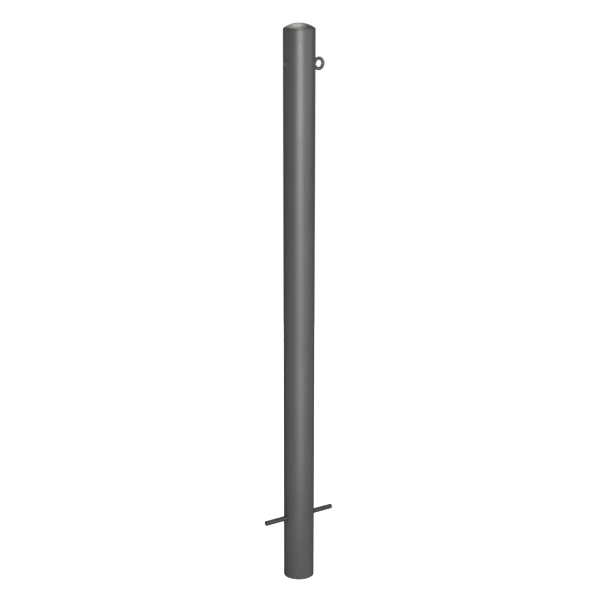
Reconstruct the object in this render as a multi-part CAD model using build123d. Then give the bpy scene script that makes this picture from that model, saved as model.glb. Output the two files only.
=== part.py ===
from build123d import *
import math
import os

# Steel safety bollard with a chain eye, in millimetres.
# Origin: centre of the post's open lower end. +Z runs up the post and +X points to the chain eye.
# The anchor bar lies along X, low on the post.

# Driving dimensions
total_height = 1375.0
tube_diameter = 76.1            # standard structural tube
tube_wall = 2.6
dome_rise = 16.0                # from the tube's upper end to the crown
dome_thickness = 3.0
cap_knuckle_radius = 2.0        # rounding between the dome and its short upright skirt
cap_upright_height = 2.0
root_land = 0.8                 # flat ring left between tube bore and weld bevel
tube_bevel_height = 1.0
cap_bevel_height = 0.4
weld_hollow = 0.45              # how far the dressed weld lies inside the tube's surface

eye_height = 1280.0             # centre of the eye and of both threaded inserts
eye_centre_x = 55.5
eye_wire_diameter = 8.0
eye_ring_radius = 12.0          # to the wire's centre line
eye_neck_radius = 4.5           # bend between shank and ring
eye_ring_end_angle = -162.0     # where the bent wire stops, short of the neck
eye_shank_tip_x = 23.0

thread_diameter = 8.0           # M8, thread crests
insert_hole_diameter = 11.2
insert_body_diameter = 11.0
insert_flange_diameter = 15.0
insert_flange_thickness = 1.5
insert_bulge_diameter = 14.6
insert_bulge_depth = 3.2
insert_length = 18.0

screw_length = 10.0
screw_recess = 0.3              # how far the set screw sits inside the insert's face
screw_chamfer = 0.6
screw_socket_flats = 4.0
screw_socket_depth = 4.0

bar_height = 160.0
bar_diameter = 13.0
bar_length = 200.0
bar_end_chamfer = 1.0
bar_hole_diameter = 14.0

# Worked out from them
tube_radius = tube_diameter / 2
bore_radius = tube_radius - tube_wall
root_radius = bore_radius + root_land
rim_height = total_height - dome_rise
cap_edge_height = rim_height + cap_bevel_height
knuckle_height = cap_edge_height + cap_upright_height
knuckle_reach = tube_radius - cap_knuckle_radius
crown_above_knuckle = total_height - knuckle_height
# The dome's arc meets the knuckle's arc without a crease, which fixes its radius.
sphere_radius = (
    (knuckle_reach**2 + crown_above_knuckle**2 - cap_knuckle_radius**2)
    / (2 * (crown_above_knuckle - cap_knuckle_radius))
)
sphere_centre_height = total_height - sphere_radius
inner_sphere_radius = sphere_radius - dome_thickness
flange_face_x = tube_radius + insert_flange_thickness


def plane_across_x(place_x, height):
    """Plane with its normal along +X, centred on the XZ plane at the given height."""
    return Plane(origin=(place_x, 0, height), x_dir=(0, 1, 0), z_dir=(1, 0, 0))


def disc_along_x(start_x, end_x, diameter, height):
    """A round bar along X between two places, centred at the given height."""
    return extrude(plane_across_x(start_x, height) * Circle(diameter / 2), amount=end_x - start_x)


def revolved_about_z(outline):
    """The solid of revolution of a closed outline drawn in the XZ plane."""
    return revolve(Plane.XZ * make_face(outline), axis=Axis.Z)


def make_post_tube():
    """Tube with a bevelled upper edge, anchor-bar holes and insert holes."""
    outline = Polyline(
        (bore_radius, 0),
        (tube_radius, 0),
        (tube_radius, rim_height - tube_bevel_height),
        (root_radius, rim_height),
        (bore_radius, rim_height),
        close=True,
    )
    tube = revolved_about_z(outline)
    drill_reach = tube_diameter
    for height, hole_diameter in ((bar_height, bar_hole_diameter), (eye_height, insert_hole_diameter)):
        tube -= disc_along_x(-drill_reach, drill_reach, hole_diameter, height)
    return tube


def make_dome_cap():
    """Pressed cap with a dome, a rounded edge and a short skirt that stands on the tube's end."""
    inner_angle = math.asin(bore_radius / inner_sphere_radius)
    knuckle_angle = math.asin(knuckle_reach / (sphere_radius - cap_knuckle_radius))

    def on_sphere(angle, radius=sphere_radius):
        """Point of the dome's outer or inner arc at an angle from the post's axis."""
        return (radius * math.sin(angle), sphere_centre_height + radius * math.cos(angle))

    def on_knuckle(angle):
        """Point of the rounded edge at an angle from the post's axis."""
        return (
            knuckle_reach + cap_knuckle_radius * math.sin(angle),
            knuckle_height + cap_knuckle_radius * math.cos(angle),
        )

    upright_top = (tube_radius, knuckle_height)
    inner_crown = on_sphere(0, inner_sphere_radius)
    inner_middle = on_sphere(inner_angle / 2, inner_sphere_radius)
    inner_edge = on_sphere(inner_angle, inner_sphere_radius)
    outline = [
        Line((bore_radius, rim_height), (root_radius, rim_height)),
        Line((root_radius, rim_height), (tube_radius, cap_edge_height)),
        Line((tube_radius, cap_edge_height), upright_top),
        ThreePointArc(upright_top, on_knuckle((knuckle_angle + math.pi / 2) / 2), on_sphere(knuckle_angle)),
        ThreePointArc(on_sphere(knuckle_angle), on_sphere(knuckle_angle / 2), (0, total_height)),
        Line((0, total_height), inner_crown),
        ThreePointArc(inner_crown, inner_middle, inner_edge),
        Line(inner_edge, (bore_radius, rim_height)),
    ]
    return revolved_about_z(outline)


def make_cap_weld():
    """Weld metal in the groove between tube and cap, dressed to a shallow hollow."""
    low_edge = (tube_radius, rim_height - tube_bevel_height)
    high_edge = (tube_radius, cap_edge_height)
    hollow = (tube_radius - weld_hollow, (low_edge[1] + high_edge[1]) / 2)
    outline = [
        Line((root_radius, rim_height), low_edge),
        ThreePointArc(low_edge, hollow, high_edge),
        Line(high_edge, (root_radius, rim_height)),
    ]
    return revolved_about_z(outline)


def make_rivet_nut():
    """Threaded blind rivet nut on the +X side: flange outside, crimped bulge inside the wall."""
    inner_end_x = flange_face_x - insert_length
    body = disc_along_x(inner_end_x, flange_face_x, insert_body_diameter, eye_height)
    flange_root_x = tube_radius - insert_flange_thickness
    flange = disc_along_x(flange_root_x, flange_face_x, insert_flange_diameter, eye_height)
    bulge = disc_along_x(bore_radius - insert_bulge_depth, bore_radius, insert_bulge_diameter, eye_height)
    height_span = 2 * insert_flange_diameter
    low_plane = Plane.XY.offset(eye_height - height_span / 2)
    flange -= extrude(low_plane * Circle(tube_radius), amount=height_span)
    bulge &= extrude(low_plane * Circle(bore_radius), amount=height_span)
    nut = body + flange + bulge
    return nut - disc_along_x(inner_end_x, flange_face_x, thread_diameter, eye_height)


def make_eye_bolt():
    """Ring screw bent from one wire: straight shank, tight neck, almost closed ring."""
    neck_start_x = eye_centre_x - math.sqrt(eye_ring_radius**2 + 2 * eye_ring_radius * eye_neck_radius)
    neck_turn = math.degrees(math.asin((eye_centre_x - neck_start_x) / (eye_ring_radius + eye_neck_radius)))
    neck_centre = (neck_start_x, eye_height + eye_neck_radius)
    ring_centre = (eye_centre_x, eye_height)
    ring_start_angle = 90 + neck_turn
    shank = Line((eye_shank_tip_x, eye_height), (neck_start_x, eye_height))
    neck = CenterArc(neck_centre, eye_neck_radius, -90, neck_turn)
    ring = CenterArc(ring_centre, eye_ring_radius, ring_start_angle, eye_ring_end_angle - ring_start_angle)
    path = Plane.XZ * Wire([shank, neck, ring])
    section = plane_across_x(eye_shank_tip_x, eye_height) * Circle(eye_wire_diameter / 2)
    return sweep(section, path=path)


def make_blanking_screw():
    """Socket set screw that closes the insert opposite the eye, socket towards -X."""
    outer_x = -flange_face_x + screw_recess
    body = disc_along_x(outer_x, outer_x + screw_length, thread_diameter, eye_height)
    body = chamfer(body.edges().filter_by(GeomType.CIRCLE), screw_chamfer)
    hexagon = RegularPolygon(screw_socket_flats / 2, 6, major_radius=False)
    return body - extrude(plane_across_x(outer_x, eye_height) * hexagon, amount=screw_socket_depth)


def make_anchor_bar():
    """Loose round bar through both walls, with chamfered ends."""
    bar = disc_along_x(-bar_length / 2, bar_length / 2, bar_diameter, bar_height)
    return chamfer(bar.edges().filter_by(GeomType.CIRCLE), bar_end_chamfer)


rivet_nut = make_rivet_nut()
nodes = {
    "post_tube": make_post_tube(),
    "dome_cap": make_dome_cap(),
    "cap_weld": make_cap_weld(),
    "eye_bolt": make_eye_bolt(),
    "eye_rivet_nut": rivet_nut,
    "blank_rivet_nut": Rot(0, 0, 180) * rivet_nut,
    "blanking_screw": make_blanking_screw(),
    "anchor_bar": make_anchor_bar(),
}

os.makedirs("parts", exist_ok=True)
for name, shape in nodes.items():
    export_step(shape, f"parts/{name}.step")
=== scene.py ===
import math

import bmesh
import bpy
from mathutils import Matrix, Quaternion, Vector


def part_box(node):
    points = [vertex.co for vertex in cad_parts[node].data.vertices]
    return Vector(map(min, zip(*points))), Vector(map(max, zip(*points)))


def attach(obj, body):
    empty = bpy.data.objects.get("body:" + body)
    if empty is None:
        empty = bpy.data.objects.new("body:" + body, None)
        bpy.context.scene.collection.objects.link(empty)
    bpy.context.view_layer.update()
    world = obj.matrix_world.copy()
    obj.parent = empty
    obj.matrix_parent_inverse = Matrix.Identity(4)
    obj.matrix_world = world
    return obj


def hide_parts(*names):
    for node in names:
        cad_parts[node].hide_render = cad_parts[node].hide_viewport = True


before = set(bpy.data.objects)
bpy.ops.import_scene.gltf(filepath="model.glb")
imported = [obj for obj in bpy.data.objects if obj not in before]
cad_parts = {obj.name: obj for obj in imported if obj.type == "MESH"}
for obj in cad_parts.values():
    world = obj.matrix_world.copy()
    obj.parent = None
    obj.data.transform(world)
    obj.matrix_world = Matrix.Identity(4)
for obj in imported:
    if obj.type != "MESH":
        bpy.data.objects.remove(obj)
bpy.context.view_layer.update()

# Lengths are in millimetres and angles in degrees unless a name says otherwise. Meshes are scaled
# to metres when a piece is finished. The post stands on Z = 0, and +X points to the chain eye.
MM = 0.001
SEGMENTS = 192                  # columns round the tube and the cap
SHARP_ANGLE = 32.0              # edges that turn more than this are shaded as creases


def node_box(node):
    """Lowest and highest corner of a CAD node, in millimetres."""
    low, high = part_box(node)
    return low / MM, high / MM


def middle_height(node):
    """Height of the middle of a CAD node's box."""
    low, high = node_box(node)
    return (low.z + high.z) / 2


TUBE_RADIUS = node_box("post_tube")[1].y
RIM_HEIGHT = node_box("post_tube")[1].z
TOTAL_HEIGHT = node_box("dome_cap")[1].z
TUBE_WALL = 2.6
BORE_RADIUS = TUBE_RADIUS - TUBE_WALL
CUT_END_ROUNDING = 0.4
HOLE_EDGE_ROUNDING = 0.45
HOLE_BLEND_SHARES = (0.65, 0.3)  # how square the mesh rings round a hole still are, outermost first
BAR_HOLE_COLUMNS = 8            # half the side of the square of mesh replaced round a hole
INSERT_HOLE_COLUMNS = 7
SEAM_BEAD_HEIGHT = 0.5          # longitudinal weld bead inside the tube
SEAM_BEAD_WIDTH = 1.6
SEAM_BEAD_ANGLE = 250.0

ROOT_RADIUS = BORE_RADIUS + 0.8
TUBE_BEVEL = 1.0
CAP_EDGE_HEIGHT = RIM_HEIGHT + 0.4
CAP_UPRIGHT = 2.0
CAP_KNUCKLE_RADIUS = 2.0
CAP_THICKNESS = 3.0
CAP_EDGE_ROUNDING = 0.15
DOME_STEPS = 40                 # rings along the dome's arc
KNUCKLE_STEPS = 10
WELD_HOLLOW = 0.45
WELD_UNEVENNESS = 0.3           # share of the hollow's depth that varies round the rim

EYE_HEIGHT = middle_height("eye_rivet_nut")
EYE_WIRE_RADIUS = 4.0
EYE_RING_RADIUS = 12.0
EYE_NECK_RADIUS = 4.5
EYE_RING_END = -162.0
EYE_TIP_X = node_box("eye_bolt")[0].x
EYE_CENTRE_X = node_box("eye_bolt")[1].x - EYE_RING_RADIUS - EYE_WIRE_RADIUS

INSERT_HOLE_RADIUS = 5.6
INSERT_BODY_RADIUS = 5.5
INSERT_BULGE_RADIUS = 7.3
INSERT_BULGE_DEPTH = 3.2
INSERT_SWELL_START = 1.6        # from the bulge's inner face towards the post's axis
INSERT_SWELL_LENGTH = 2.4
INSERT_END_CHAMFER = 0.3
INSERT_MOUTH_DEPTH = 0.5        # chamfers at both mouths of the thread
INSERT_INNER_MOUTH_WIDTH = 0.4
INSERT_OUTER_MOUTH_WIDTH = 0.5
INSERT_INNER_X, FLANGE_FACE_X = node_box("eye_rivet_nut")[0].x, node_box("eye_rivet_nut")[1].x
FLANGE_RADIUS = 7.5
FLANGE_SIDE_START = 0.1         # above the tube's surface
FLANGE_EDGE_ROUNDING = 0.35
PAINT_DEPTH = 0.6               # how far the coat reaches in from the tube's surface
THREAD_RADIUS = 4.0

SCREW_OUTER_X, SCREW_INNER_X = node_box("blanking_screw")[0].x, node_box("blanking_screw")[1].x
SCREW_CHAMFER = 0.6
SCREW_PITCH = 1.25
SCREW_THREAD_DEPTH = 0.65
SCREW_TIP_INSET = 0.1           # the flat tip is this much smaller than the thread's root
# Place along a pitch, and share of the thread's depth there.
THREAD_PROFILE = ((0.1, 0.0), (0.2, 0.0), (0.6, 1.0), (0.7, 1.0))
SOCKET_HALF_FLATS = 2.0
SOCKET_DEPTH = 4.0
SOCKET_EDGE_CHAMFER = 0.2
SOCKET_FLOOR_CONE = 0.6

BAR_HEIGHT = middle_height("anchor_bar")
BAR_HALF_LENGTH = node_box("anchor_bar")[1].x
BAR_RADIUS = node_box("anchor_bar")[1].y
BAR_CHAMFER = 1.0
BAR_EDGE_ROUNDING = 0.3
BAR_HOLE_RADIUS = 7.0


# ---------------------------------------------------------------- mesh helpers

def rounded(outline, rounding, steps=4):
    """Turns each inner corner of an open outline of (radius, along) points into a small arc."""
    points = [Vector(outline[0])]
    for before, corner, after in zip(outline, outline[1:], outline[2:]):
        corner = Vector(corner)
        to_before = (Vector(before) - corner).normalized()
        to_after = (Vector(after) - corner).normalized()
        half = to_before.angle(to_after) / 2
        centre = corner + (to_before + to_after).normalized() * rounding / math.sin(half)
        start = corner + to_before * rounding / math.tan(half) - centre
        end = corner + to_after * rounding / math.tan(half) - centre
        turn = end.angle_signed(start)
        for step in range(steps + 1):
            angle = turn * step / steps
            cos, sin = math.cos(angle), math.sin(angle)
            turned = Vector((start.x * cos - start.y * sin, start.x * sin + start.y * cos))
            points.append(centre + turned)
    points.append(Vector(outline[-1]))
    return points


def arc(centre, radius, start, end, steps):
    """Points of an arc round an (radius, along) centre, between two angles off the post's axis."""
    points = []
    for step in range(steps + 1):
        angle = start + (end - start) * step / steps
        points.append((centre[0] + radius * math.sin(angle), centre[1] + radius * math.cos(angle)))
    return points


def bridge(bm, first, second):
    """A closed band of faces between two rings. A ring of one vertex is a pole."""
    count = max(len(first), len(second))
    for k in range(count):
        after = (k + 1) % count
        corners = (
            first[k % len(first)],
            first[after % len(first)],
            second[after % len(second)],
            second[k % len(second)],
        )
        bm.faces.new(list(dict.fromkeys(corners)))


def round_z(radius, along, turn):
    """Place of an outline point turned round the post's axis."""
    return Vector((radius * math.cos(turn), radius * math.sin(turn), along))


def round_x(height, side=1):
    """Places outline points round an axis along X at a height; side -1 points them to -X."""
    return lambda radius, along, turn: Vector(
        (side * along, radius * math.cos(turn), height + radius * math.sin(turn))
    )


def lathe(bm, outline, place, segments=SEGMENTS):
    """Turns (radius, along) points round an axis. A radius or an along may be a function of the turn.
    An outline between two poles closes itself, and any other is closed into a ring."""
    rings = []
    for radius, along in outline:
        if radius == 0:
            rings.append([bm.verts.new(place(0, along, 0))])
            continue
        ring = []
        for k in range(segments):
            turn = 2 * math.pi * k / segments
            reach = radius(turn) if callable(radius) else radius
            travel = along(reach, turn) if callable(along) else along
            ring.append(bm.verts.new(place(reach, travel, turn)))
        rings.append(ring)
    if len(rings[0]) > 1:
        rings.append(rings[0])
    for first, second in zip(rings, rings[1:]):
        bridge(bm, first, second)


def finish_piece(bm, name, body, materials, stands_for):
    """Makes the mesh an object that rides on a body and stands for a CAD node."""
    loose = [vert for vert in bm.verts if not vert.link_faces]
    bmesh.ops.delete(bm, geom=loose, context="VERTS")
    bmesh.ops.recalc_face_normals(bm, faces=bm.faces)
    bmesh.ops.scale(bm, vec=(MM, MM, MM), verts=bm.verts)
    mesh = bpy.data.meshes.new(name)
    bm.to_mesh(mesh)
    bm.free()
    mesh.shade_smooth()
    mesh.set_sharp_from_angle(angle=math.radians(SHARP_ANGLE))
    for material in materials:
        mesh.materials.append(material)
    piece = bpy.data.objects.new(name, mesh)
    bpy.context.scene.collection.objects.link(piece)
    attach(piece, body)
    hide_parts(stands_for)


# ---------------------------------------------------------------- the tube

def outer_radius(column):
    """Radius of the tube's outside, the same at every column."""
    return TUBE_RADIUS


def bead_radius(column):
    """Bore radius at a column: the longitudinal seam leaves a low bead inside."""
    offset = (column * 360 / SEGMENTS - SEAM_BEAD_ANGLE) * math.radians(BORE_RADIUS)
    return BORE_RADIUS - SEAM_BEAD_HEIGHT * math.exp(-((offset / SEAM_BEAD_WIDTH) ** 2))


def level_ring(bm, radius_of, height):
    """A ring of vertices at one height, whose radius may vary with the column."""
    ring = []
    for column in range(SEGMENTS):
        turn = 2 * math.pi * column / SEGMENTS
        ring.append(bm.verts.new(round_z(radius_of(column), height, turn)))
    return ring


def tube_wall(bm, radius_of, hole_specs, rows, inward):
    """One cylindrical surface with round holes along X.
    Returns its first ring, its last ring and the rings of its holes."""
    grid = [level_ring(bm, radius_of, height) for height in rows]
    cut = {}
    for column, height, half, hole_radius in hole_specs:
        row = min(range(len(rows)), key=lambda j: abs(rows[j] - height))
        cut[(column, row)] = (half, hole_radius)
    inside = {
        ((column + i) % SEGMENTS, row + j)
        for (column, row), (half, _) in cut.items()
        for i in range(-half, half)
        for j in range(-half, half)
    }
    for j, (low, high) in enumerate(zip(grid, grid[1:])):
        for column in range(SEGMENTS):
            if (column, j) not in inside:
                after = (column + 1) % SEGMENTS
                bm.faces.new((low[column], low[after], high[after], high[column]))
    hole_rings = []
    for (column, row), (half, hole_radius) in cut.items():
        hole_rings.append(
            hole_in_wall(bm, grid, rows, radius_of, column, row, half, hole_radius, inward)
        )
    return grid[0], grid[-1], hole_rings


def hole_in_wall(bm, grid, rows, radius_of, column, row, half, hole_radius, inward):
    """Fills the square left round a hole with rings that turn from the square into the round edge."""
    square = (
        [(half, j) for j in range(-half, half)]
        + [(-i, half) for i in range(-half, half)]
        + [(-half, -j) for j in range(-half, half)]
        + [(i, -half) for i in range(-half, half)]
    )
    outer = [grid[row + j][(column + i) % SEGMENTS] for i, j in square]
    cell_turn = 2 * math.pi / SEGMENTS
    radius = radius_of(column)
    depth_sign = 1 if inward else -1
    blends = [(share, hole_radius + HOLE_EDGE_ROUNDING, 0.0) for share in HOLE_BLEND_SHARES]
    edge_steps = 3
    for step in range(edge_steps + 1):
        slope = math.radians(90 * step / edge_steps)
        reach = hole_radius + HOLE_EDGE_ROUNDING * (1 - math.sin(slope))
        blends.append((0.0, reach, HOLE_EDGE_ROUNDING * (1 - math.cos(slope))))
    last = outer
    for share, reach, depth in blends:
        ring = []
        for i, j in square:
            up = rows[row + j] - rows[row]
            angle = math.atan2(up, i * cell_turn * TUBE_RADIUS)
            round_turn = math.asin(reach * math.cos(angle) / radius)
            turn = share * i * cell_turn + (1 - share) * round_turn
            height = rows[row] + share * up + (1 - share) * reach * math.sin(angle)
            place = round_z(radius, height, column * cell_turn + turn)
            place.x += depth_sign * depth * math.copysign(1.0, math.cos(column * cell_turn))
            ring.append(bm.verts.new(place))
        bridge(bm, last, ring)
        last = ring
    return last


def hole_rows(height, half):
    """Row heights across one hole's square, as fine as the columns."""
    cell = 2 * math.pi * TUBE_RADIUS / SEGMENTS
    return [height + cell * j for j in range(-half, half + 1)]


def make_tube(material):
    """Steel tube with rounded cut end, bevelled top, anchor-bar holes and insert holes."""
    specs = []
    for column in (0, SEGMENTS // 2):
        specs.append((column, BAR_HEIGHT, BAR_HOLE_COLUMNS, BAR_HOLE_RADIUS))
        specs.append((column, EYE_HEIGHT, INSERT_HOLE_COLUMNS, INSERT_HOLE_RADIUS))
    between = hole_rows(BAR_HEIGHT, BAR_HOLE_COLUMNS) + hole_rows(EYE_HEIGHT, INSERT_HOLE_COLUMNS)
    bm = bmesh.new()
    outer_rows = [CUT_END_ROUNDING, *between, RIM_HEIGHT - TUBE_BEVEL]
    inner_rows = [CUT_END_ROUNDING, *between, RIM_HEIGHT]
    outer_low, outer_high, outer_holes = tube_wall(bm, outer_radius, specs, outer_rows, False)
    inner_low, inner_high, inner_holes = tube_wall(bm, bead_radius, specs, inner_rows, True)
    for outer_ring, inner_ring in zip(outer_holes, inner_holes):
        bridge(bm, outer_ring, inner_ring)
    # The cut end is rounded from the outside to its flat, and from the flat to the bore.
    steps = 3
    outside_to_flat, flat_to_bore = range(1, steps + 1), range(steps, 0, -1)
    last = outer_low
    halves = ((outer_radius, -1, outside_to_flat), (bead_radius, 1, flat_to_bore))
    for wall_radius, side, order in halves:
        for step in order:
            slope = math.pi / 2 * step / steps
            inset = CUT_END_ROUNDING * (1 - math.cos(slope))
            height = CUT_END_ROUNDING * (1 - math.sin(slope))
            ring = level_ring(bm, lambda column: wall_radius(column) + side * inset, height)
            bridge(bm, last, ring)
            last = ring
    bridge(bm, last, inner_low)
    root = level_ring(bm, lambda column: ROOT_RADIUS, RIM_HEIGHT)
    bridge(bm, outer_high, root)
    bridge(bm, root, inner_high)
    finish_piece(bm, "bollard_tube", "post", [material], "post_tube")


# ---------------------------------------------------------------- cap and weld

def make_cap(material):
    """Pressed cap: dome, rounded edge and a short upright skirt."""
    knuckle_height = CAP_EDGE_HEIGHT + CAP_UPRIGHT
    knuckle_reach = TUBE_RADIUS - CAP_KNUCKLE_RADIUS
    rise = TOTAL_HEIGHT - knuckle_height
    # The dome runs into the rounded edge without a crease, which fixes its radius.
    reach_and_rise = knuckle_reach**2 + rise**2 - CAP_KNUCKLE_RADIUS**2
    sphere_radius = reach_and_rise / (2 * (rise - CAP_KNUCKLE_RADIUS))
    inner_radius = sphere_radius - CAP_THICKNESS
    centre = (0.0, TOTAL_HEIGHT - sphere_radius)
    knuckle_angle = math.asin(knuckle_reach / (sphere_radius - CAP_KNUCKLE_RADIUS))
    inner_angle = math.asin(BORE_RADIUS / inner_radius)
    edge = [(ROOT_RADIUS, RIM_HEIGHT), (TUBE_RADIUS, CAP_EDGE_HEIGHT), (TUBE_RADIUS, knuckle_height)]
    knuckle_centre = (knuckle_reach, knuckle_height)
    knuckle = arc(knuckle_centre, CAP_KNUCKLE_RADIUS, math.pi / 2, knuckle_angle, KNUCKLE_STEPS)
    outline = [
        *arc(centre, inner_radius, 0.0, inner_angle, DOME_STEPS),
        (BORE_RADIUS, RIM_HEIGHT),
        *rounded(edge, CAP_EDGE_ROUNDING)[:-1],
        *knuckle,
        *arc(centre, sphere_radius, knuckle_angle, 0.0, DOME_STEPS)[1:],
    ]
    bm = bmesh.new()
    lathe(bm, outline, round_z)
    finish_piece(bm, "bollard_cap", "post", [material], "dome_cap")


def weld_ripple(turn):
    """Uneven height of the dressed weld round the rim, from 0 to 1."""
    # Waves round the rim, phase in radians and share of the whole ripple.
    waves = ((17, 0.4, 0.30), (29, 2.1, 0.25), (47, 4.0, 0.20), (5, 1.3, 0.25))
    return 0.5 + 0.5 * sum(size * math.sin(count * turn + phase) for count, phase, size in waves)


def make_weld(material):
    """Weld metal in the groove between tube and cap, dressed to an uneven shallow hollow."""
    low = RIM_HEIGHT - TUBE_BEVEL
    steps = 10

    def hollow_at(share):
        """Radius of the weld's surface at a share of its height, as a function of the turn."""
        depth = WELD_HOLLOW * math.sin(math.pi * share)
        return lambda turn: TUBE_RADIUS - depth * (
            1 - WELD_UNEVENNESS + WELD_UNEVENNESS * weld_ripple(turn)
        )

    outline = [(ROOT_RADIUS, RIM_HEIGHT), (TUBE_RADIUS, low)]
    for step in range(1, steps):
        outline.append((hollow_at(step / steps), low + (CAP_EDGE_HEIGHT - low) * step / steps))
    outline.append((TUBE_RADIUS, CAP_EDGE_HEIGHT))
    bm = bmesh.new()
    lathe(bm, outline, round_z, segments=2 * SEGMENTS)
    finish_piece(bm, "bollard_cap_weld", "post", [material], "cap_weld")


# ---------------------------------------------------------------- eye, inserts and screw

def eye_path():
    """Centre line of the eye's wire as (x, z, direction) stations: shank, neck and ring."""
    neck_x = EYE_CENTRE_X - math.sqrt(EYE_RING_RADIUS**2 + 2 * EYE_RING_RADIUS * EYE_NECK_RADIUS)
    neck_turn = math.asin((EYE_CENTRE_X - neck_x) / (EYE_RING_RADIUS + EYE_NECK_RADIUS))
    before_bend = 1.0
    stations = [(EYE_TIP_X, EYE_HEIGHT, 0.0), (neck_x - before_bend, EYE_HEIGHT, 0.0)]
    neck_steps = 14
    for step in range(neck_steps):
        direction = neck_turn * step / neck_steps
        x = neck_x + EYE_NECK_RADIUS * math.sin(direction)
        z = EYE_HEIGHT + EYE_NECK_RADIUS * (1 - math.cos(direction))
        stations.append((x, z, direction))
    ring_steps = 110
    start, end = math.pi / 2 + neck_turn, math.radians(EYE_RING_END)
    for step in range(ring_steps + 1):
        angle = start + (end - start) * step / ring_steps
        x = EYE_CENTRE_X + EYE_RING_RADIUS * math.cos(angle)
        z = EYE_HEIGHT + EYE_RING_RADIUS * math.sin(angle)
        stations.append((x, z, angle - math.pi / 2))
    return stations


def make_eye(material):
    """Ring screw bent from one round wire, with dulled ends."""
    stations = eye_path()
    sections = 40
    # Distance from a wire end, and how much thinner the wire is there.
    end_shapes = ((0.0, 0.75), (0.12, 0.4), (0.45, 0.1), (0.9, 0.0))

    def dulled(station, travel, inset):
        """A station moved along the wire by travel, and the wire's radius there."""
        x, z, direction = station
        moved = (x + travel * math.cos(direction), z + travel * math.sin(direction), direction)
        return moved, EYE_WIRE_RADIUS - inset

    # The last three stations give way to the dulled end's own rings.
    rings = [dulled(stations[0], travel, inset) for travel, inset in end_shapes]
    rings += [(station, EYE_WIRE_RADIUS) for station in stations[1:-3]]
    rings += [dulled(stations[-1], -travel, inset) for travel, inset in reversed(end_shapes)]
    bm = bmesh.new()
    tip_x, tip_z, _ = stations[0]
    end_x, end_z, _ = stations[-1]
    loops = [[bm.verts.new((tip_x, 0, tip_z))]]
    for (x, z, direction), radius in rings:
        loop = []
        for k in range(sections):
            turn = 2 * math.pi * k / sections
            across = radius * math.cos(turn)
            aside = radius * math.sin(turn)
            place = (x - across * math.sin(direction), aside, z + across * math.cos(direction))
            loop.append(bm.verts.new(place))
        loops.append(loop)
    loops.append([bm.verts.new((end_x, 0, end_z))])
    for first, second in zip(loops, loops[1:]):
        bridge(bm, first, second)
    finish_piece(bm, "chain_eye_ring", "post", [material], "eye_bolt")


def on_tube(radius):
    """Makes an outline point follow a cylinder of that radius about the post's axis."""
    return lambda reach, turn: math.sqrt(radius**2 - (reach * math.cos(turn)) ** 2)


def make_insert(name, node, side, steel, paint):
    """Blind rivet nut set in the wall: flange outside, crimped bulge inside."""
    face = FLANGE_FACE_X
    bulge_x = BORE_RADIUS - INSERT_BULGE_DEPTH
    outer_wall, inner_wall = on_tube(TUBE_RADIUS), on_tube(BORE_RADIUS)
    outline = [
        (THREAD_RADIUS, INSERT_INNER_X + INSERT_MOUTH_DEPTH),
        (THREAD_RADIUS + INSERT_INNER_MOUTH_WIDTH, INSERT_INNER_X),
        (INSERT_BODY_RADIUS - INSERT_END_CHAMFER, INSERT_INNER_X),
        (INSERT_BODY_RADIUS, INSERT_INNER_X + INSERT_END_CHAMFER),
        (INSERT_BODY_RADIUS, bulge_x - INSERT_SWELL_START),
    ]
    bulge_steps = 8
    for step in range(1, bulge_steps + 1):
        angle = math.pi / 2 * step / bulge_steps
        reach = INSERT_BODY_RADIUS + (INSERT_BULGE_RADIUS - INSERT_BODY_RADIUS) * math.sin(angle)
        along = bulge_x - INSERT_SWELL_START + INSERT_SWELL_LENGTH * (1 - math.cos(angle))
        outline.append((reach, along))
    outline += [
        (INSERT_BULGE_RADIUS, inner_wall),
        (INSERT_BODY_RADIUS, inner_wall),
        (INSERT_BODY_RADIUS, outer_wall),
        (FLANGE_RADIUS, outer_wall),
    ]
    flange_edge = [
        (FLANGE_RADIUS, TUBE_RADIUS + FLANGE_SIDE_START),
        (FLANGE_RADIUS, face),
        (THREAD_RADIUS + INSERT_OUTER_MOUTH_WIDTH, face),
    ]
    outline += rounded(flange_edge, FLANGE_EDGE_ROUNDING)
    outline.append((THREAD_RADIUS, face - INSERT_MOUTH_DEPTH))
    bm = bmesh.new()
    lathe(bm, outline, round_x(EYE_HEIGHT, side), segments=96)
    for mesh_face in bm.faces:
        if abs(mesh_face.calc_center_median().x) > TUBE_RADIUS - PAINT_DEPTH:
            mesh_face.material_index = 1
    finish_piece(bm, name, "post", [steel, paint], node)


def hexagon(widening=0.0):
    """Radius of a hexagon socket as a function of the turn."""
    def reach(turn):
        within = turn % (math.pi / 3) - math.pi / 6
        return (SOCKET_HALF_FLATS + widening) / math.cos(within)
    return reach


def make_screw(material):
    """Socket set screw with ring-shaped threads, closing the insert opposite the eye."""
    face, inner_end = -SCREW_OUTER_X, -SCREW_INNER_X
    tip_radius = THREAD_RADIUS - SCREW_THREAD_DEPTH - SCREW_TIP_INSET
    outline = [(0, inner_end), (tip_radius, inner_end)]
    threaded_length = face - inner_end - 2 * SCREW_CHAMFER
    grooves = round(threaded_length / SCREW_PITCH)
    pitch = threaded_length / grooves
    for groove in range(grooves):
        start = inner_end + SCREW_CHAMFER + groove * pitch
        for place, depth_share in THREAD_PROFILE:
            outline.append((THREAD_RADIUS - depth_share * SCREW_THREAD_DEPTH, start + place * pitch))
    outline += [
        (THREAD_RADIUS, face - SCREW_CHAMFER),
        (THREAD_RADIUS - SCREW_CHAMFER, face),
        (hexagon(SOCKET_EDGE_CHAMFER), face),
        (hexagon(), face - SOCKET_EDGE_CHAMFER),
        (hexagon(), face - SOCKET_DEPTH),
        (0, face - SOCKET_DEPTH - SOCKET_FLOOR_CONE),
    ]
    bm = bmesh.new()
    lathe(bm, outline, round_x(EYE_HEIGHT, -1), segments=96)
    finish_piece(bm, "blanking_set_screw", "post", [material], "blanking_screw")


# ---------------------------------------------------------------- anchor bar

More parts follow.
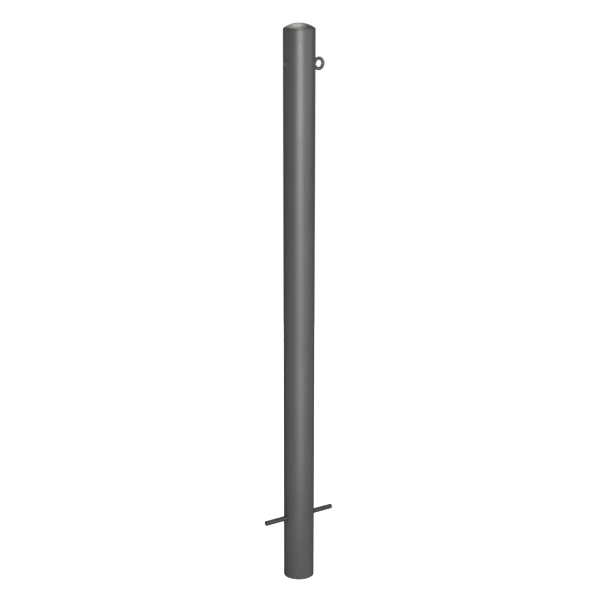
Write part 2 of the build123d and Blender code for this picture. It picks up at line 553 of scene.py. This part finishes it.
def make_bar(material):
    """Round bar with chamfered, slightly softened ends."""
    end = BAR_HALF_LENGTH
    outline = [
        (0, -end),
        (BAR_RADIUS - BAR_CHAMFER, -end),
        (BAR_RADIUS, BAR_CHAMFER - end),
        (BAR_RADIUS, end - BAR_CHAMFER),
        (BAR_RADIUS - BAR_CHAMFER, end),
        (0, end),
    ]
    bm = bmesh.new()
    lathe(bm, rounded(outline, BAR_EDGE_ROUNDING), round_x(BAR_HEIGHT), segments=72)
    finish_piece(bm, "anchor_cross_bar", "anchor_bar", [material], "anchor_bar")


# ---------------------------------------------------------------- materials

def node_material(name):
    """A new material with an empty node tree, its shader and its object coordinates."""
    material = bpy.data.materials.new(name)
    material.use_nodes = True
    nodes, links = material.node_tree.nodes, material.node_tree.links
    nodes.clear()
    shader = nodes.new("ShaderNodeBsdfPrincipled")
    output = nodes.new("ShaderNodeOutputMaterial")
    links.new(shader.outputs["BSDF"], output.inputs["Surface"])
    coordinates = nodes.new("ShaderNodeTexCoord")
    return material, nodes, links, shader, coordinates.outputs["Object"]


def add_noise(nodes, links, vector, scale, detail=2.0, roughness=0.5, distortion=0.0):
    """A noise texture; scale is in repeats per metre."""
    noise = nodes.new("ShaderNodeTexNoise")
    noise.inputs["Scale"].default_value = scale
    noise.inputs["Detail"].default_value = detail
    noise.inputs["Roughness"].default_value = roughness
    noise.inputs["Distortion"].default_value = distortion
    links.new(vector, noise.inputs["Vector"])
    return noise.outputs["Fac"]


def add_range(nodes, links, value, from_low, from_high, to_low, to_high):
    """Maps a value range onto another, clamped."""
    mapping = nodes.new("ShaderNodeMapRange")
    mapping.inputs["From Min"].default_value = from_low
    mapping.inputs["From Max"].default_value = from_high
    mapping.inputs["To Min"].default_value = to_low
    mapping.inputs["To Max"].default_value = to_high
    links.new(value, mapping.inputs["Value"])
    return mapping.outputs["Result"]


def add_mix(nodes, links, factor, first, second):
    """Mixes two colours; each is a colour or a socket."""
    mix = nodes.new("ShaderNodeMix")
    mix.data_type = "RGBA"
    links.new(factor, mix.inputs["Factor"])
    for socket, value in ((mix.inputs["A"], first), (mix.inputs["B"], second)):
        if isinstance(value, bpy.types.NodeSocket):
            links.new(value, socket)
        else:
            socket.default_value = value
    return mix.outputs["Result"]


def add_bump(nodes, links, height, strength, distance, normal=None):
    """A bump of that depth in metres, on top of another bump if given."""
    bump = nodes.new("ShaderNodeBump")
    bump.inputs["Strength"].default_value = strength
    bump.inputs["Distance"].default_value = distance
    links.new(height, bump.inputs["Height"])
    if normal is not None:
        links.new(normal, bump.inputs["Normal"])
    return bump.outputs["Normal"]


def stretched(nodes, links, vector, scale):
    """Coordinates stretched by a factor on each axis."""
    mapping = nodes.new("ShaderNodeMapping")
    mapping.inputs["Scale"].default_value = scale
    links.new(vector, mapping.inputs["Vector"])
    return mapping.outputs["Vector"]


def grey(level, warmth=0.0):
    """A grey as linear colour, slightly warm or cool."""
    return (level * (1 + warmth), level, level * (1 - warmth), 1.0)


def powder_coat(name, level, roughness, scuff_axes=None):
    """Satin dark-grey powder coat: orange peel, dust nibs, varied tone and gloss, and scuffs if asked."""
    material, nodes, links, shader, vector = node_material(name)
    cloud = add_noise(nodes, links, vector, 7.0, 4.0)
    tone = add_mix(
        nodes, links, add_range(nodes, links, cloud, 0.35, 0.65, 0.0, 1.0),
        grey(level * 0.93, 0.01), grey(level * 1.07, 0.02),
    )
    grain = add_noise(nodes, links, vector, 1900.0, 1.0)
    tone = add_mix(
        nodes, links, add_range(nodes, links, grain, 0.62, 0.78, 0.0, 0.35), tone, grey(level * 1.5),
    )
    gloss = add_noise(nodes, links, vector, 32.0, 5.0, 0.6)
    rough = add_range(nodes, links, gloss, 0.3, 0.7, roughness - 0.035, roughness + 0.045)
    if scuff_axes:
        drawn_out = stretched(nodes, links, vector, scuff_axes)
        scratches = add_noise(nodes, links, drawn_out, 60.0, 6.0, 0.7, 0.4)
        wear = add_range(nodes, links, scratches, 0.58, 0.70, 0.0, 0.6)
        tone = add_mix(nodes, links, wear, tone, grey(level * 2.1, 0.015))
    links.new(tone, shader.inputs["Base Color"])
    links.new(rough, shader.inputs["Roughness"])
    peel = add_noise(nodes, links, vector, 850.0, 1.5)
    normal = add_bump(nodes, links, peel, 0.4, 0.00013)
    nibs = add_range(nodes, links, grain, 0.6, 0.8, 0.0, 1.0)
    links.new(add_bump(nodes, links, nibs, 0.12, 0.00006, normal), shader.inputs["Normal"])
    shader.inputs["IOR"].default_value = 1.5
    return material


def zinc_plate(name):
    """Passivated zinc on a steel insert: metallic, faintly blotched."""
    material, nodes, links, shader, vector = node_material(name)
    blotch = add_noise(nodes, links, vector, 260.0, 4.0, 0.6)
    tone = add_mix(
        nodes, links, add_range(nodes, links, blotch, 0.35, 0.65, 0.0, 1.0),
        (0.50, 0.50, 0.47, 1.0), (0.62, 0.61, 0.56, 1.0),
    )
    links.new(tone, shader.inputs["Base Color"])
    links.new(add_range(nodes, links, blotch, 0.3, 0.7, 0.32, 0.5), shader.inputs["Roughness"])
    turning = add_noise(nodes, links, stretched(nodes, links, vector, (6.0, 1.0, 1.0)), 900.0, 2.0)
    links.new(add_bump(nodes, links, turning, 0.2, 0.00005), shader.inputs["Normal"])
    shader.inputs["Metallic"].default_value = 1.0
    return material


def floor_material():
    """Plain pale matt floor with a barely visible mottle."""
    material, nodes, links, shader, vector = node_material("pale_floor")
    mottle = add_noise(nodes, links, vector, 1.3, 3.0)
    tone = add_mix(nodes, links, mottle, grey(0.83), grey(0.87))
    links.new(tone, shader.inputs["Base Color"])
    shader.inputs["Roughness"].default_value = 0.9
    shader.inputs["Specular IOR Level"].default_value = 0.1
    shader.inputs["Emission Color"].default_value = (1.0, 1.0, 1.0, 1.0)
    shader.inputs["Emission Strength"].default_value = 0.95
    return material


# ---------------------------------------------------------------- studio

VIEW_AZIMUTH = -34.85           # camera direction round the post; 0 looks along +Y
CAMERA_DISTANCE = 3177.0        # level distance from the post's axis
CAMERA_HEIGHT = 1503.0
CAMERA_TILT = 13.9              # downwards
CAMERA_PAN = -0.041             # aims a touch to the side, so the post stands left of the middle
CAMERA_ROLL = 0.06
LENS = 81.15
SENSOR_WIDTH = 36.0

AMBIENT_GLOW = 0.07
BACKDROP_GLOW = 1.0


def around_post(azimuth, distance, height):
    """A place seen from the post at an azimuth of the view, in metres."""
    angle = math.radians(azimuth)
    return Vector((math.sin(angle) * distance, -math.cos(angle) * distance, height)) * MM


def make_camera():
    """Camera at the viewing angle of the reference view."""
    data = bpy.data.cameras.new("main_camera")
    data.lens = LENS
    data.sensor_width = SENSOR_WIDTH
    data.clip_start, data.clip_end = 0.05, 200.0
    camera = bpy.data.objects.new("main_camera", data)
    bpy.context.scene.collection.objects.link(camera)
    camera.location = around_post(VIEW_AZIMUTH, CAMERA_DISTANCE, CAMERA_HEIGHT)
    swing = Quaternion((0, 0, 1), math.radians(VIEW_AZIMUTH + CAMERA_PAN))
    nod = Quaternion((1, 0, 0), math.radians(90 - CAMERA_TILT))
    roll = Quaternion((0, 0, 1), math.radians(CAMERA_ROLL))
    camera.rotation_mode = "QUATERNION"
    camera.rotation_quaternion = swing @ nod @ roll
    bpy.context.scene.camera = camera


def softbox(name, azimuth, distance, height, size, glow, aim_height, tint=(1.0, 1.0, 1.0)):
    """Rectangular soft light round the post, turned towards a height on its axis.
    The azimuth counts from the camera's, the size is in metres and glow is the panel's radiance."""
    data = bpy.data.lights.new(name, "AREA")
    data.shape = "RECTANGLE"
    data.size, data.size_y = size
    data.energy = glow * math.pi * size[0] * size[1]
    data.color = tint
    light = bpy.data.objects.new(name, data)
    bpy.context.scene.collection.objects.link(light)
    light.location = around_post(VIEW_AZIMUTH + azimuth, distance, height)
    towards = Vector((0.0, 0.0, aim_height * MM)) - light.location
    light.rotation_mode = "QUATERNION"
    light.rotation_quaternion = towards.to_track_quat("-Z", "Y")
    light.visible_camera = False


def make_floor():
    """Wide round floor that the post stands on, in metres. It doesn't show in the post's gloss."""
    bm = bmesh.new()
    rings = [[bm.verts.new((0.0, 0.0, 0.0))]]
    segments = 96
    for radius in (0.5, 2.0, 6.0, 15.0, 40.0):
        ring = []
        for k in range(segments):
            turn = 2 * math.pi * k / segments
            ring.append(bm.verts.new((radius * math.cos(turn), radius * math.sin(turn), 0.0)))
        rings.append(ring)
    for first, second in zip(rings, rings[1:]):
        bridge(bm, first, second)
    mesh = bpy.data.meshes.new("studio_floor")
    bm.to_mesh(mesh)
    bm.free()
    mesh.materials.append(floor_material())
    floor = bpy.data.objects.new("studio_floor", mesh)
    bpy.context.scene.collection.objects.link(floor)
    floor.visible_glossy = False


def make_world():
    """Dim even surroundings that the camera sees as the same pale tone as the floor."""
    world = bpy.data.worlds.new("studio_world")
    world.use_nodes = True
    nodes, links = world.node_tree.nodes, world.node_tree.links
    background = nodes["Background"]
    background.inputs["Color"].default_value = (1.0, 1.0, 1.0, 1.0)
    camera_ray = nodes.new("ShaderNodeLightPath").outputs["Is Camera Ray"]
    strength = add_range(nodes, links, camera_ray, 0.0, 1.0, AMBIENT_GLOW, BACKDROP_GLOW)
    links.new(strength, background.inputs["Strength"])
    bpy.context.scene.world = world


def make_studio():
    """Pale surroundings and soft lights."""
    bpy.context.scene.view_settings.view_transform = "Standard"
    make_world()
    make_floor()
    softbox("front_softbox", 8.0, 2500.0, 900.0, (2.5, 1.8), 4.4, 900.0)
    softbox("front_top_softbox", 7.0, 2400.0, 1380.0, (0.75, 0.7), 21.0, 1380.0)
    softbox("front_low_softbox", 12.0, 900.0, 170.0, (0.8, 0.3), 3.2, 150.0)
    softbox("left_softbox", 250.0, 2000.0, 1350.0, (0.5, 0.5), 1.2, 1280.0)
    softbox("right_softbox", 58.0, 2300.0, 1000.0, (0.8, 1.7), 2.2, 1000.0)
    softbox("overhead_softbox", 187.0, 1100.0, 3050.0, (0.8, 1.9), 6.2, 1375.0, (1.0, 0.96, 0.92))
    softbox("side_strip", 83.0, 2000.0, 1400.0, (0.2, 0.5), 14.0, 1300.0)
    softbox("back_softbox", 175.0, 2500.0, 1000.0, (1.4, 1.7), 2.0, 1000.0)


# ---------------------------------------------------------------- build

make_camera()
post_coat = powder_coat("post_powder_coat", 0.043, 0.41)
fitting_coat = powder_coat("fitting_powder_coat", 0.040, 0.38)
bar_coat = powder_coat("bar_powder_coat", 0.024, 0.5, scuff_axes=(0.12, 1.0, 1.0))
zinc = zinc_plate("insert_zinc")
make_tube(post_coat)
make_cap(post_coat)
make_weld(post_coat)
make_eye(fitting_coat)
make_insert("eye_insert", "eye_rivet_nut", 1, zinc, fitting_coat)
make_insert("blank_insert", "blank_rivet_nut", -1, zinc, fitting_coat)
make_screw(zinc)
make_bar(bar_coat)
make_studio()
